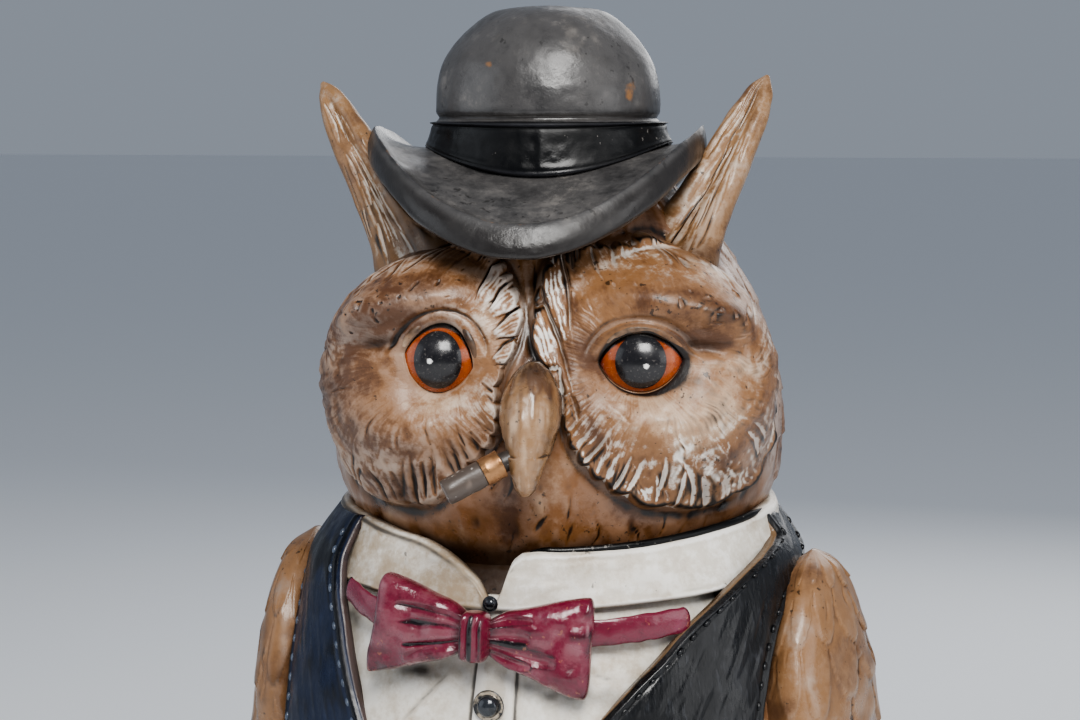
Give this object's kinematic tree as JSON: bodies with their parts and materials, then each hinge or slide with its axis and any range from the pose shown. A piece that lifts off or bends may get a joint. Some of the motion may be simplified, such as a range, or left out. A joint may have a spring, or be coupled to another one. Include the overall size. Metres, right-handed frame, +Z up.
{
  "type": "owl figurine",
  "caption": "Standing gentleman owl figurine in bowler hat, wing collar, bow tie and stitched waistcoat, cigar in its beak, on a round plinth.",
  "frame": {"origin": "middle of the felt pad's underside, on the body's vertical axis", "axes": "+Z up, the owl's body faces -Y and its own left is +X; its head is turned 12 degrees to its left"},
  "size_m": [0.14, 0.1318, 0.3],
  "materials": {
    "feather_paint": "cold-painted tan and brown feathers, dark antique wash, white dry-brushed tips, satin varnish",
    "wing_paint": "cold-painted ochre feathers, brown wash in the carving, satin varnish",
    "beak_paint": "cold-painted tan horn, brown wash in the creases, semi-gloss varnish",
    "eye_paint": "orange iris, charcoal pupil and small white dot under clear gloss",
    "hat_paint": "cold-painted grey-brown felt with dark speckle, worn ochre chips, satin varnish",
    "ribbon_paint": "cold-painted black, gloss varnish",
    "linen_paint": "cold-painted off-white with a thin brown wash, satin varnish",
    "tie_paint": "cold-painted burgundy with dark wash in the folds, patchy gloss varnish",
    "waistcoat_paint": "cold-painted blue-black, dotted stitches, gloss varnish",
    "stud_paint": "cold-painted dark pearl, gloss varnish",
    "cigar_paint": "cold-painted grey-brown with speckle, satin varnish",
    "cigar_band_foil": "thin copper-coloured band, satin",
    "plinth_paint": "cold-painted dark brown, satin varnish",
    "base_felt": "dark green felt"
  },
  "bodies": {
    "root": {"felt_pad": "base_felt", "base_plinth": "plinth_paint", "body_casting": "feather_paint", "left_foot": "beak_paint", "right_foot": "beak_paint", "tail": "wing_paint", "waistcoat_left_front": "waistcoat_paint", "waistcoat_right_front": "waistcoat_paint", "waistcoat_back": "waistcoat_paint", "waistcoat_button_1": "stud_paint", "waistcoat_button_2": "stud_paint", "waistcoat_button_3": "stud_paint", "shirt_front": "linen_paint", "collar_left": "linen_paint", "collar_right": "linen_paint", "collar_stud": "stud_paint", "shirt_stud_upper": "stud_paint", "shirt_stud_lower": "stud_paint", "bow_loop_left": "tie_paint", "bow_loop_right": "tie_paint", "bow_knot": "tie_paint", "neck_strap_left": "tie_paint", "neck_strap_right": "tie_paint", "left_wing": "wing_paint", "right_wing": "wing_paint", "head_casting": "feather_paint", "left_ear_tuft": "wing_paint", "right_ear_tuft": "wing_paint", "left_eye": "eye_paint", "right_eye": "eye_paint", "beak": "beak_paint", "cigar": "cigar_paint", "cigar_band": "cigar_band_foil", "bowler_hat": "hat_paint", "hat_ribbon": "ribbon_paint"}
  },
  "joints": []
}
